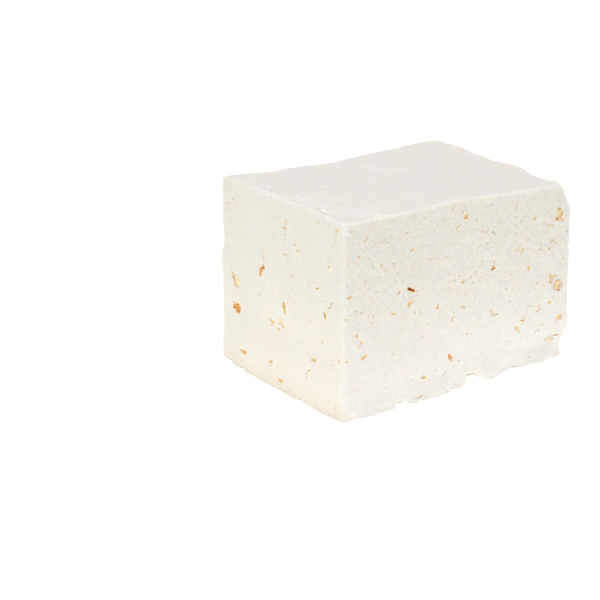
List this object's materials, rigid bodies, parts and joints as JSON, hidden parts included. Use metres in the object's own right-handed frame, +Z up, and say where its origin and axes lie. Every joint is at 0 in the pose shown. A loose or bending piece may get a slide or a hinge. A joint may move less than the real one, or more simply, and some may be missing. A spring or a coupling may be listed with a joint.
{
  "type": "feta cheese block",
  "caption": "Box-shaped block of white brined cheese with one smooth knife-cut end, pitted pressed sides, small open eyes and a ragged foot to stand on.",
  "frame": {"origin": "in the plane of the foot, under the middle of the block's box", "axes": "+Z up; X along the long side, with the fresh knife cut facing -X; the pitted front faces -Y"},
  "size_m": [0.1248, 0.092, 0.081],
  "materials": {
    "curd": "faintly moist white curd with a soft sheen, warm tan inside the open eyes"
  },
  "bodies": {
    "root": {"feta_block": "curd"}
  },
  "joints": []
}
